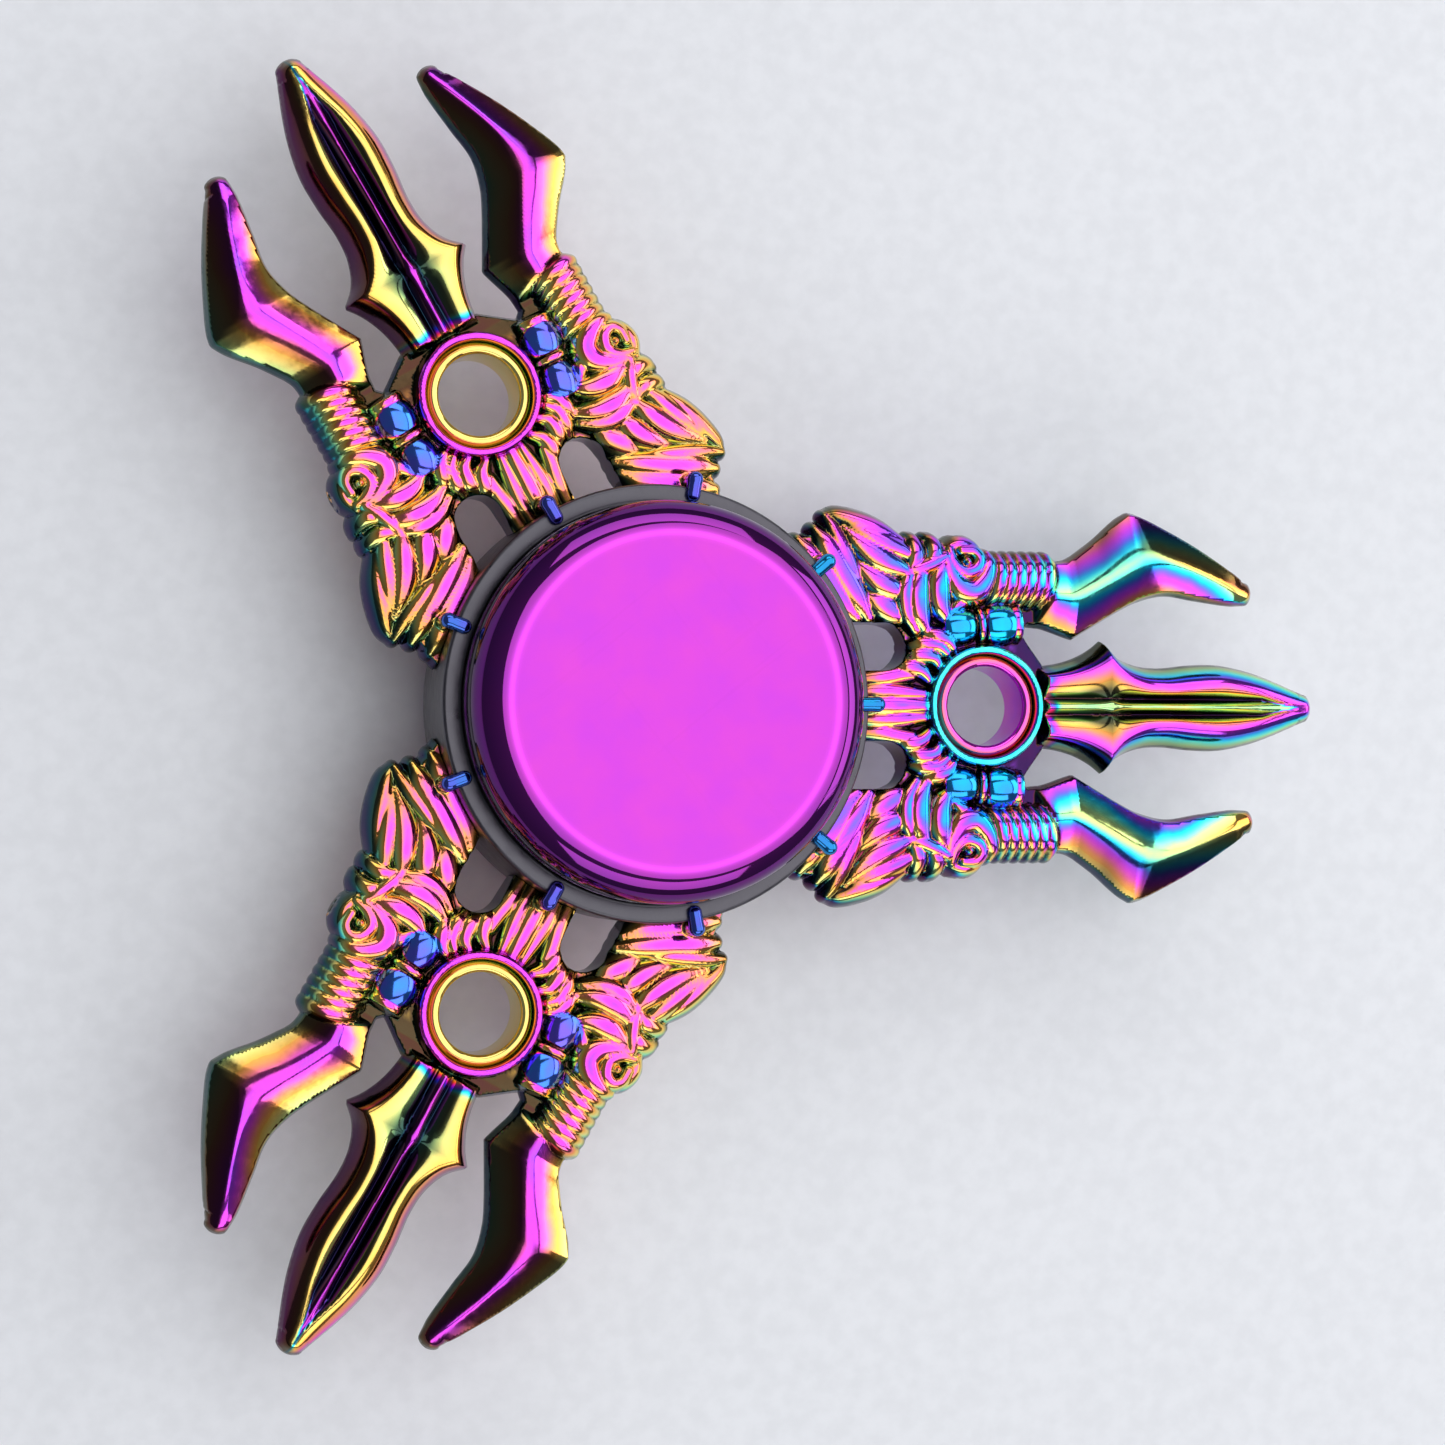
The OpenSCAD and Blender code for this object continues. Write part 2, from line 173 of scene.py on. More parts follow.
def slopeOf(field, p, reach):
    # central differences of the field at each corner
    slope = np.empty_like(p)
    for axis in range(3):
        move = np.zeros(3)
        move[axis] = reach
        slope[:, axis] = (field(*(p + move).T) - field(*(p - move).T)) / (2 * reach)
    return slope


def makeMesh(name, corners, faces, material, normals=None, **shares):
    # corners in mm and faces straight into a mesh, with one attribute for each named share
    mesh = bpy.data.meshes.new(name)
    mesh.vertices.add(len(corners))
    mesh.vertices.foreach_set("co", (np.asarray(corners) * mm).ravel())
    sides = faces.shape[1]
    mesh.loops.add(faces.size)
    mesh.loops.foreach_set("vertex_index", faces.ravel())
    mesh.polygons.add(len(faces))
    mesh.polygons.foreach_set("loop_start", np.arange(0, faces.size, sides))
    mesh.polygons.foreach_set("use_smooth", np.ones(len(faces), bool))
    mesh.update(calc_edges=True)
    for share, values in shares.items():
        mesh.attributes.new(share, "FLOAT", "POINT").data.foreach_set("value", values)
    if normals is not None:
        mesh.normals_split_custom_set_from_vertices(normals)
    piece = bpy.data.objects.new(name, mesh)
    bpy.context.scene.collection.objects.link(piece)
    mesh.materials.append(material)
    return piece


def closeMesh(piece):
    # joins the coincident corners at the poles and keeps hard edges over 40 degrees
    bm = bmesh.new()
    bm.from_mesh(piece.data)
    bmesh.ops.remove_doubles(bm, verts=bm.verts, dist=1e-7)
    bmesh.ops.recalc_face_normals(bm, faces=bm.faces)
    bm.to_mesh(piece.data)
    bm.free()
    piece.data.set_sharp_from_angle(angle=math.radians(40))


def place(piece, body, slot, *nodes):
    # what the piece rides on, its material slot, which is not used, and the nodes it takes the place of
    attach(piece, body)
    if nodes:
        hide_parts(*nodes)


def turnProfile(profile, segments, centre=(0, 0)):
    # a closed outline of (radius, height) points swept once round a vertical axis
    profile = np.asarray(profile, float)
    angle = np.linspace(0, 2 * math.pi, segments, endpoint=False)[:, None]
    corners = np.stack([centre[0] + profile[:, 0] * np.cos(angle), centre[1] + profile[:, 0] * np.sin(angle),
                        np.broadcast_to(profile[:, 1], (segments, len(profile)))], -1).reshape(-1, 3)
    i, j = np.meshgrid(np.arange(segments), np.arange(len(profile)), indexing="ij")
    nextI, nextJ = (i + 1) % segments, (j + 1) % len(profile)
    count = len(profile)
    faces = np.stack([i * count + j, nextI * count + j, nextI * count + nextJ, i * count + nextJ], -1)
    return corners, faces.reshape(-1, 4)


def arcPoints(cx, cz, radius, startDeg, endDeg, count):
    # points spaced evenly round a circle, from one angle to the other
    a = np.radians(np.linspace(startDeg, endDeg, count))
    return np.stack([cx + radius * np.cos(a), cz + radius * np.sin(a)], 1)


filmLook = {
    # closed ramp of plating colours, by film order
    "ramp": [(0.00, (1.00, 0.50, 0.07)), (0.12, (1.00, 0.22, 0.16)), (0.24, (0.90, 0.05, 0.80)),
             (0.36, (0.36, 0.08, 0.98)), (0.46, (0.02, 0.14, 0.80)), (0.56, (0.00, 0.72, 0.98)),
             (0.66, (0.16, 0.95, 0.62)), (0.76, (0.55, 0.90, 0.30)), (0.87, (0.98, 0.82, 0.25)),
             (1.00, (1.00, 0.50, 0.07))],
    # film order of a high level face, by X in mm
    "across": [-40, -8, 4, 11, 16, 21, 24, 32, 37],
    "order": [0.34, 0.33, 0.35, 0.44, 0.48, 0.54, 0.72, 0.80, 0.95],
    "depthShift": 0.20,             # fall of the order for each mm below the ridges, where plating is thinner
    "hornDepthShift": (0.45, 0.58), # the same on the horns, on the two left arms and on the right one
    "tiltShift": 0.46,              # fall of the order from level to upright
    "hornTiltCut": 0.8,             # how much less of it the horns take
    "leanShift": [0.03, 0.05, 0.20, 0.24, 0.55, 0.40],  # rise on slopes that lean towards the lean direction
    "leanAcross": [-40, -27, -19, 4, 12, 40], "leanDirection": (0.85, 0.53),
    # film order on the two left arms and on the right one
    "beadOrder": (0.445, 0.50), "collarOrder": (0.27, 0.60),
    "ribOrder": (0.27, 0.75), "rollOrder": (0.93, 0.22),
    "rollSpread": (0.30, 0.56),     # rise of the order from the roll's crest to the spear's edge
    "rollPower": 1.3,
    # near-black that the painted shade, and on the caps a darker tone, mixes the plating towards
    "recessColour": (0.016, 0.010, 0.018),
    # the texture of the plating: how fine each noise is, how deep the ripple, and the hairline scratches
    "mottleScale": 420.0, "wearScale": 2400.0, "rippleScale": 620.0, "rippleDeep": 0.00008,
    "scratchLong": 30, "scratchFrom": 0.71, "scratchTo": 0.74,
    "scratchRuns": [(38, 70.0), (-52, 55.0)],           # degrees turned and scale of each
}


def newMaterial(name):
    # a metal with nothing on it yet
    material = bpy.data.materials.new(name)
    material.use_nodes = True
    tree = material.node_tree
    shader = tree.nodes["Principled BSDF"]
    shader.inputs["Metallic"].default_value = 1.0
    return material, tree, shader


def mathNode(tree, operation, *values):
    # each value is a number or another node's output
    node = tree.nodes.new("ShaderNodeMath")
    node.operation = operation
    for socket, value in zip(node.inputs, values):
        if isinstance(value, (int, float)):
            socket.default_value = value
        else:
            tree.links.new(value, socket)
    return node.outputs[0]


def noiseNode(tree, vector, scale, detail=3.0, roughness=0.5):
    # scale counts the grains in a metre
    node = tree.nodes.new("ShaderNodeTexNoise")
    node.inputs["Scale"].default_value = scale
    node.inputs["Detail"].default_value = detail
    node.inputs["Roughness"].default_value = roughness
    tree.links.new(vector, node.inputs["Vector"])
    return node.outputs["Fac"]


def rangeNode(tree, value, fromLow, fromHigh, toLow, toHigh):
    # stretches one range of values evenly onto another, and stops at its ends
    node = tree.nodes.new("ShaderNodeMapRange")
    for socket, number in zip(list(node.inputs)[1:5], (fromLow, fromHigh, toLow, toHigh)):
        socket.default_value = number
    tree.links.new(value, node.inputs[0])
    return node.outputs[0]


def bumpNode(tree, shader, height, strength, distance):
    # tilts the normal as a relief of this many metres would, eased by the strength
    node = tree.nodes.new("ShaderNodeBump")
    node.inputs["Strength"].default_value = strength
    node.inputs["Distance"].default_value = distance
    tree.links.new(height, node.inputs["Height"])
    tree.links.new(node.outputs["Normal"], shader.inputs["Normal"])


def rampNode(tree, factor, stops):
    # smooth ramp through (position, colour) stops
    node = tree.nodes.new("ShaderNodeValToRGB")
    ramp = node.color_ramp
    ramp.interpolation = "B_SPLINE"
    while len(ramp.elements) < len(stops):
        ramp.elements.new(0.5)
    for element, (position, colour) in zip(ramp.elements, stops):
        element.position = position
        element.color = (*colour, 1)
    tree.links.new(factor, node.inputs["Fac"])
    return node.outputs["Color"]


def attributeNode(tree, name):
    # a share that the mesh carries at its corners
    node = tree.nodes.new("ShaderNodeAttribute")
    node.attribute_name = name
    return node.outputs["Fac"]


def filmOrder(corners, normals, depth, right, horny):
    # order set by X, less shares of the depth and of the sine of the tilt, plus a share of the lean
    leanX, leanY = filmLook["leanDirection"]
    tilt = np.hypot(normals[:, 0], normals[:, 1])
    lean = normals[:, 0] * leanX + normals[:, 1] * leanY
    perMm = filmLook["depthShift"] + horny * (filmLook["hornDepthShift"][right] - filmLook["depthShift"])
    order = curveThrough(corners[:, 0], filmLook["across"], filmLook["order"])
    leanShare = curveThrough(corners[:, 0], filmLook["leanAcross"], filmLook["leanShift"])
    tiltShare = filmLook["tiltShift"] * (1 - filmLook["hornTiltCut"] * horny)
    return order - perMm * depth - tiltShare * tilt + leanShare * lean


def scratchNode(tree, point, turnDeg, scale):
    # long thin marks: the top of a noise stretched along one direction
    mapping = tree.nodes.new("ShaderNodeMapping")
    mapping.vector_type = "TEXTURE"
    mapping.inputs["Rotation"].default_value = (0, 0, math.radians(turnDeg))
    mapping.inputs["Scale"].default_value = (1, 1 / filmLook["scratchLong"], 1)
    tree.links.new(point, mapping.inputs["Vector"])
    noise = noiseNode(tree, mapping.outputs["Vector"], scale, 1.0)
    return rangeNode(tree, noise, filmLook["scratchFrom"], filmLook["scratchTo"], 0, 1)


def filmMaterial(name, mottle, roughness, ripple, scratches=0.0):
    # film order carried by the mesh, plus mottle, read round the closed ramp, then darkened towards
    # near-black by its share of painted shade (and, on the caps, of darker tone)
    material, tree, shader = newMaterial(name)
    point = tree.nodes.new("ShaderNodeTexCoord").outputs["Object"]
    patches = rangeNode(tree, noiseNode(tree, point, filmLook["mottleScale"]), 0.3, 0.7, -mottle, mottle)
    order = mathNode(tree, "ADD", attributeNode(tree, "filmOrder"), patches)
    turns = mathNode(tree, "FRACT", mathNode(tree, "ADD", order, 2.0))  # whole turns keep it above zero
    # mixes the plating colour towards near-black by the mesh's share of painted shade and tone
    darker = tree.nodes.new("ShaderNodeMix")
    darker.data_type = "RGBA"
    plating, dark, mixed = darker.inputs[6], darker.inputs[7], darker.outputs[2]    # its colour sockets
    tree.links.new(attributeNode(tree, "recess"), darker.inputs["Factor"])
    tree.links.new(rampNode(tree, turns, filmLook["ramp"]), plating)
    dark.default_value = (*filmLook["recessColour"], 1)
    tree.links.new(mixed, shader.inputs["Base Color"])
    fine = noiseNode(tree, point, filmLook["wearScale"], 3.0, 0.6)
    wear = rangeNode(tree, fine, 0.3, 0.75, roughness * 0.6, roughness * 1.7)
    relief = noiseNode(tree, point, filmLook["rippleScale"], 2.0)
    if scratches:
        runs = [scratchNode(tree, point, turnDeg, scale) for turnDeg, scale in filmLook["scratchRuns"]]
        marks = mathNode(tree, "MAXIMUM", *runs)
        wear = mathNode(tree, "MULTIPLY_ADD", marks, scratches, wear)
        relief = mathNode(tree, "SUBTRACT", relief, mathNode(tree, "MULTIPLY", marks, scratches))
    tree.links.new(wear, shader.inputs["Roughness"])
    bumpNode(tree, shader, relief, ripple, filmLook["rippleDeep"])
    return material


def plainMetal(name, colour, roughness, grain, grainStretch):
    # satin metal: one stretched noise gives the grain's tone, its wear and its bump
    material, tree, shader = newMaterial(name)
    mapping = tree.nodes.new("ShaderNodeMapping")
    mapping.inputs["Scale"].default_value = grainStretch
    tree.links.new(tree.nodes.new("ShaderNodeTexCoord").outputs["Object"], mapping.inputs["Vector"])
    streak = noiseNode(tree, mapping.outputs["Vector"], grain, 4.0, 0.6)
    dark, light = [c * 0.8 for c in colour], [min(1, c * 1.15) for c in colour]
    tone = rampNode(tree, streak, [(0.3, dark), (0.7, light)])
    tree.links.new(tone, shader.inputs["Base Color"])
    wear = rangeNode(tree, streak, 0.3, 0.7, roughness * 0.75, roughness * 1.3)
    tree.links.new(wear, shader.inputs["Roughness"])
    bumpNode(tree, shader, streak, 0.2, 0.00004)
    return material


armFilm = filmMaterial("armFilm", 0.035, 0.11, 0.18)
capFilm = filmMaterial("capFilm", 0.012, 0.045, 0.05, scratches=0.14)
ringFilm = filmMaterial("ringFilm", 0.03, 0.06, 0.1)
hubSteel = plainMetal("hubSteel", (0.11, 0.105, 0.12), 0.34, 900.0, (1, 1, 6))
bearingSteel = plainMetal("bearingSteel", (0.62, 0.62, 0.63), 0.14, 1400.0, (1, 1, 4))
sheetSteel = plainMetal("sheetSteel", (0.5, 0.5, 0.5), 0.28, 1100.0, (1, 1, 1))
studSteel = plainMetal("studSteel", (0.28, 0.28, 0.29), 0.3, 1200.0, (1, 1, 5))
print("materials made")


# strands: x, y, half width and crest height of each point, in mm from the spin axis, for an arm's +Y half
armShape = {
    # where the cells of the skin start and stop along X, Y and Z, and how long they are
    "skin": {"step": 0.125, "start": 6.6, "blade": 22.8, "past": 0.6, "bladeCells": 1.4, "side": 12.4,
             "wall": 0.15, "relief": 0.9, "claw": 2.3, "top": 3.8, "wallStep": 0.25, "clawStep": 0.16,
             "moveReach": 0.01, "leastSlope": 0.05, "normalReach": 0.04},
    "strand": {"fall": 0.32, "power": 2.6, "widen": 1.22, "blunt": 0.2, "reach": 2.0, "steps": 8,
               "blend": 0.10},
    "webHalf": 1.0, "rootHalf": 0.6, "rootStart": 20.5, "rootRun": 2.0,
    "edgeShare": 0.7,       # most of a blade's height that its edge may take
    "partBlend": 0.06,
    "fieldShare": 0.6,      # eases the field where the relief is steep
    "tip": {"half": 0.8, "fall": 2.0, "blend": 0.3},
    "web": [(7.9, 9.3), (10.3, 9.6), (11.5, 10.2), (14.3, 9.6), (16.7, 9.3), (18.9, 9.0), (20.3, 8.5),
            (24.1, 8.2), (24.7, 4.6), (22.4, 4.8), (21.9, 4.3), (23.3, 2.4), (23.3, -1.0), (10.0, -1.0)],
    "draft": 3.0,           # drop of an outer wall for each mm outwards
    "slot": {"y": 3.35, "halfWidth": 1.35, "endX": 13.55},
    "feathers": [
        [(14.6, 4.9, .25, 1.40), (14.0, 5.3, .52, 1.62), (13.3, 5.8, .56, 1.62), (12.5, 6.25, .34, 1.35)],
        [(14.6, 6.3, .30, 1.55), (13.9, 6.65, .50, 1.78), (13.1, 7.05, .52, 1.74), (12.4, 7.65, .40, 1.5),
         (11.9, 8.3, .12, 1.2)],
        [(14.9, 7.6, .30, 1.60), (14.0, 7.95, .46, 1.78), (13.0, 8.45, .54, 1.72), (12.1, 9.15, .44, 1.5),
         (11.2, 10.1, .15, 1.1)],
        [(15.0, 8.6, .30, 1.50), (14.2, 8.95, .40, 1.60), (13.1, 9.40, .42, 1.55), (12.0, 9.95, .32, 1.3),
         (11.2, 10.4, .12, 1.0)],
        [(14.6, 9.3, .22, 1.25), (13.4, 9.85, .36, 1.38), (12.2, 10.3, .38, 1.32), (11.0, 10.7, .30, 1.1),
         (10.4, 10.8, .1, 0.9)]],
    "quills": [
        [(11.9, 5.0, .30, 1.4), (10.9, 6.0, .62, 1.68), (10.0, 7.2, .66, 1.72), (9.2, 8.4, .50, 1.5),
         (8.6, 9.3, .2, 1.1)],
        [(12.6, 5.0, .28, 1.4), (11.9, 6.1, .50, 1.72), (11.05, 7.4, .58, 1.76), (10.25, 8.9, .50, 1.55),
         (9.6, 9.9, .2, 1.1)],
        [(12.1, 6.7, .15, 1.5), (11.6, 7.8, .32, 1.62), (11.1, 8.9, .38, 1.5), (10.6, 10.0, .3, 1.25),
         (10.2, 10.7, .12, 1.0)]],
    "locks": [
        [(15.4, 4.3, .22, 1.5), (14.85, 5.3, .36, 1.76), (14.75, 6.4, .38, 1.86), (15.1, 7.5, .25, 1.6)],
        [(16.1, 4.2, .25, 1.5), (15.6, 5.3, .46, 1.86), (15.5, 6.4, .50, 1.96), (15.8, 7.5, .36, 1.7),
         (16.3, 8.0, .15, 1.5)],
        [(17.3, 4.9, .22, 1.6), (16.85, 5.8, .46, 1.86), (16.75, 6.7, .50, 1.96), (16.95, 7.6, .38, 1.75),
         (17.3, 8.2, .15, 1.5)],
        [(14.8, 7.6, .18, 1.5), (15.6, 7.75, .28, 1.75), (16.4, 8.05, .30, 1.8), (17.2, 8.5, .2, 1.65)],
        [(15.2, 7.9, .20, 1.6), (15.5, 8.5, .38, 1.66), (15.4, 9.2, .32, 1.3), (15.2, 9.6, .12, 0.9)],
        [(16.2, 8.1, .20, 1.6), (16.6, 8.65, .36, 1.66), (16.5, 9.2, .32, 1.3), (16.2, 9.6, .12, 0.9)],
        [(17.5, 5.3, .15, 1.5), (18.0, 5.75, .28, 1.66), (18.6, 6.1, .2, 1.6)]],
    "volute": [
        [(17.3, 8.4, .2, 1.6), (17.55, 7.5, .42, 1.8), (18.1, 6.7, .50, 1.96), (18.9, 6.55, .48, 2.02),
         (19.55, 7.2, .42, 1.96), (19.85, 8.0, .32, 1.75), (19.8, 8.6, .15, 1.3)],
        [(17.5, 8.9, .15, 1.5), (17.75, 8.1, .25, 1.7), (18.3, 7.6, .30, 1.86), (19.0, 7.8, .30, 1.86),
         (19.25, 8.35, .27, 1.75), (18.9, 8.8, .22, 1.65), (18.2, 8.85, .2, 1.6)],
        [(17.2, 8.95, .15, 1.3), (18.1, 9.2, .28, 1.4), (18.9, 9.05, .24, 1.3), (19.4, 8.7, .1, 1.1)]],
    "button": {"x": 18.45, "y": 8.2, "radius": 0.40, "crest": 2.0, "fall": 0.8, "blend": 0.07},
    "coil": {"x": 19.95, "pitch": 0.6, "count": 6,
             "turn": [(0, 5.9, .18, 1.2), (.3, 6.5, .26, 1.7), (.5, 7.2, .29, 1.9), (.6, 7.9, .27, 1.7),
                      (.55, 8.45, .2, 1.1)]},
    "neck": [
        [(12.1, 0, .3, 1.3), (13.4, 0, .44, 1.62), (14.8, 0, .40, 1.72), (16.2, 0, .25, 1.8)],
        [(12.1, .75, .28, 1.25), (13.3, .8, .38, 1.5), (14.6, .75, .32, 1.62), (15.9, .65, .18, 1.66)],
        [(12.1, 1.5, .3, 1.2), (13.3, 1.55, .40, 1.46), (14.4, 1.75, .36, 1.56), (15.2, 1.75, .2, 1.6)],
        [(14.4, 1.95, .2, 1.4), (15.0, 2.15, .36, 1.68), (15.7, 2.0, .3, 1.74), (16.2, 1.5, .16, 1.66)],
        [(15.0, 2.6, .22, 1.4), (15.6, 2.85, .36, 1.72), (16.4, 2.75, .3, 1.78), (16.8, 2.3, .16, 1.7)],
        [(15.2, 3.4, .22, 1.35), (15.9, 3.5, .34, 1.68), (16.7, 3.4, .28, 1.76), (17.2, 3.0, .14, 1.76)],
        [(16.0, 4.15, .2, 1.5), (16.7, 3.95, .36, 1.78), (17.3, 3.7, .3, 1.78), (17.6, 3.3, .14, 1.7)]],
    # turned work beside the eyelet: place along, half length, radius and belly of two beads and two collars
    "baluster": {"start": (17.0, 4.45), "slantDeg": 3.5, "rise": 0.80, "sideFall": 2, "endFall": 5,
                 "barrels": [(1.05, 0.96, 1.12, 0.42), (3.50, 0.86, 1.24, 0.3),
                             (2.33, 0.18, 1.12, 0.1), (4.56, 0.22, 1.12, 0.1)]},
    "collar": {"radius": 3.20, "halfWidth": 0.26, "crest": 1.98, "fall": 0.35, "blend": 0.05},
    "claws": {"anglesDeg": (-39.4, 0.0, 39.4), "radius": 0.42, "half": 0.45, "lift": 0.1, "blend": 0.1,
              "rootBlend": 0.12},
}

spear = {
    "x": [22.4, 23.6, 25.2, 26.4, 27.1, 27.9, 29.2, 30.6, 32.6, 34.4, 36.4, 37.8, 39.0, 39.9],
    "across": {
        "edge": [2.2, 2.2, 2.55, 3.15, 3.7, 2.85, 2.25, 2.1, 2.28, 2.3, 1.92, 1.46, 0.98, 0.62],
        "ridge": [1.45, 1.5, 1.75, 2.15, 2.5, 1.75, 1.12, 0.98, 1.12, 1.18, 0.85, 0.42, 0.12, 0.05],
        "ridgeHigh": [1.75, 1.8, 1.9, 1.98, 2.02, 2.0, 1.98, 1.95, 1.9, 1.82, 1.6, 1.36, 1.12, 0.95],
        "valleyHigh": [1.2, 1.25, 1.3, 1.4, 1.7, 1.2, 1.05, 1.0, 0.98, 0.95, 1.0, 1.2, 1.1, 0.93],
        "centreHigh": [1.75, 1.8, 1.9, 2.1, 2.25, 1.95, 1.85, 1.8, 1.72, 1.6, 1.42, 1.3, 1.12, 0.95]},
    "valley": 0.46, "valleyShare": 0.6, "edgeHalf": 0.6, "roll": 2.2, "rib": 1.6,
    "startX": 23.1, "startRise": 4.0, "startBlend": 0.15,
    "tip": (39.35, 0.0, 0.66),          # centre and radius
}

horn = {
    "x": [22.4, 23.6, 24.8, 25.3, 26.6, 28.0, 28.75, 29.3, 31.0, 33.0, 35.0, 36.2],
    "outer": [8.2, 8.2, 8.3, 8.55, 9.5, 10.7, 11.15, 11.05, 10.3, 9.25, 8.0, 7.2],
    "ridge": [6.4, 6.35, 6.3, 6.5, 7.15, 7.95, 8.4, 8.68, 8.4, 7.75, 6.95, 6.5],
    "inner": [4.95, 4.65, 4.25, 4.1, 4.85, 5.65, 6.05, 6.3, 6.7, 6.45, 6.2, 6.15],
    "high": [1.6, 1.7, 1.8, 1.84, 1.9, 1.94, 1.96, 1.98, 1.82, 1.52, 1.15, 0.75],
    "bends": (3, 6),                    # knots where the outline turns sharply
    "edgeHalf": 0.75, "ridgeRound": 0.22, "startX": 22.8, "startRise": 1.2, "startBlend": 0.3,
    "tip": (35.75, 6.72, 0.50),
}


def roundedTip(height, x, y, centre):
    # past the centre of the tip the height falls with the distance beyond the tip's radius
    tip = armShape["tip"]
    tipX, tipY, tipRadius = centre
    beyond = np.where(x > tipX, np.hypot(x - tipX, y - tipY), 0) - tipRadius
    return softMin(height, tip["half"] - tip["fall"] * beyond, tip["blend"])


def spearSection(x):
    # every measure across the spear at this place along it
    s = {k: curveThrough(x, spear["x"], values, corners=(4,)) for k, values in spear["across"].items()}
    s["valley"] = np.minimum(spear["valley"], spear["valleyShare"] * s["ridge"])
    s["edgeHalf"] = np.minimum(spear["edgeHalf"], armShape["edgeShare"] * s["ridgeHigh"])
    return s


def spearHeight(x, y):
    # across each section: a rounded roll from the edge over the ridge to the valley, and a middle rib
    s = spearSection(x)
    out = fadeIn(y, s["ridge"], s["edge"] - s["ridge"]) ** spear["roll"]
    back = fadeIn(-y, -s["ridge"], s["ridge"] - s["valley"]) ** spear["roll"]
    roll = s["ridgeHigh"] - out * (s["ridgeHigh"] - s["edgeHalf"]) - back * (s["ridgeHigh"] - s["valleyHigh"])
    rib = s["centreHigh"] - (np.abs(y) / s["valley"]) ** spear["rib"] * (s["centreHigh"] - s["valleyHigh"])
    height = softMax(roll, rib, armShape["partBlend"]) - armShape["draft"] * np.maximum(0, y - s["edge"])
    start = armShape["webHalf"] + spear["startRise"] * (x - spear["startX"])
    return roundedTip(softMin(height, start, spear["startBlend"]), x, y, spear["tip"])


def hornSection(x):
    # every measure across the horn at this place along it, with the bends of its outline kept sharp
    return {k: curveThrough(x, horn["x"], horn[k], corners=horn["bends"] if k in ("outer", "inner") else (2,))
            for k in ("outer", "ridge", "inner", "high")}


def hornHeight(x, y):
    # two flanks that fall evenly from the ridge to the outer and the inner edge
    s = hornSection(x)
    edgeHalf = np.minimum(horn["edgeHalf"], armShape["edgeShare"] * s["high"])
    outward = (y - s["ridge"]) / (s["outer"] - s["ridge"])
    inward = (s["ridge"] - y) / (s["ridge"] - s["inner"])
    flank = softMin(s["high"] - outward * (s["high"] - edgeHalf), s["high"] - inward * (s["high"] - edgeHalf),
                    horn["ridgeRound"])
    height = flank - armShape["draft"] * (np.maximum(0, y - s["outer"]) + np.maximum(0, s["inner"] - y))
    start = armShape["rootHalf"] + horn["startRise"] * (x - horn["startX"])
    return roundedTip(softMin(height, start, horn["startBlend"]), x, y, horn["tip"])


def coilPaths():
    # the same turn of wire, repeated along the arm at the pitch
    coil = armShape["coil"]
    for i in range(coil["count"]):
        x = coil["x"] + i * coil["pitch"]
        yield [(x + along, y, halfWidth, crest) for along, y, halfWidth, crest in coil["turn"]]


def balusterPlace(x, y):
    # distances along and across the slanted line of the turned work
    b = armShape["baluster"]
    slant = math.radians(b["slantDeg"])
    dx, dy = x - b["start"][0], y - b["start"][1]
    return dx * math.cos(slant) + dy * math.sin(slant), dy * math.cos(slant) - dx * math.sin(slant)


def balusterHeight(x, y):
    # barrels: root of (radius squared, less a share towards the ends, less distance from the axis squared)
    b = armShape["baluster"]
    along, across = balusterPlace(x, y)
    height = np.full(np.broadcast(x, y).shape, -1.0)
    for middle, halfLength, radius, belly in b["barrels"]:
        out = np.abs(along - middle) / halfLength
        left = radius ** 2 * (1 - belly * out ** 2) - across ** 2
        barrel = b["rise"] + np.sqrt(np.maximum(left, 0)) - b["sideFall"] * np.sqrt(np.maximum(-left, 0))
        height = np.maximum(height, barrel - b["endFall"] * halfLength * np.maximum(0, out - 1))
    return height


def armHeight(x, y):
    # the highest of the web and every ornament, with narrow blends between neighbours
    y = np.abs(y)
    root = fadeIn(x, armShape["rootStart"], armShape["rootRun"])
    level = armShape["webHalf"] + (armShape["rootHalf"] - armShape["webHalf"]) * root
    height = level - armShape["draft"] * np.maximum(0, polygonGap(x, y, armShape["web"]))
    groups = [armShape[name] for name in ("quills", "feathers", "locks", "neck", "volute")] + [coilPaths()]
    for group in groups:
        for path in group:
            height = softMax(height, strandHeight(x, y, path), armShape["strand"]["blend"])
    button = armShape["button"]
    fromButton = (x - button["x"]) ** 2 + (y - button["y"]) ** 2
    dome = button["crest"] - button["fall"] * fromButton / button["radius"] ** 2
    height = softMax(height, dome, button["blend"])
    for part in (balusterHeight, hornHeight, spearHeight):
        height = softMax(height, part(x, y), armShape["partBlend"])
    collar = armShape["collar"]
    fromEye = np.hypot(x - eyeX, y)
    ring = collar["crest"] - collar["fall"] * ((fromEye - collar["radius"]) / collar["halfWidth"]) ** 4
    return softMax(height, ring, collar["blend"])


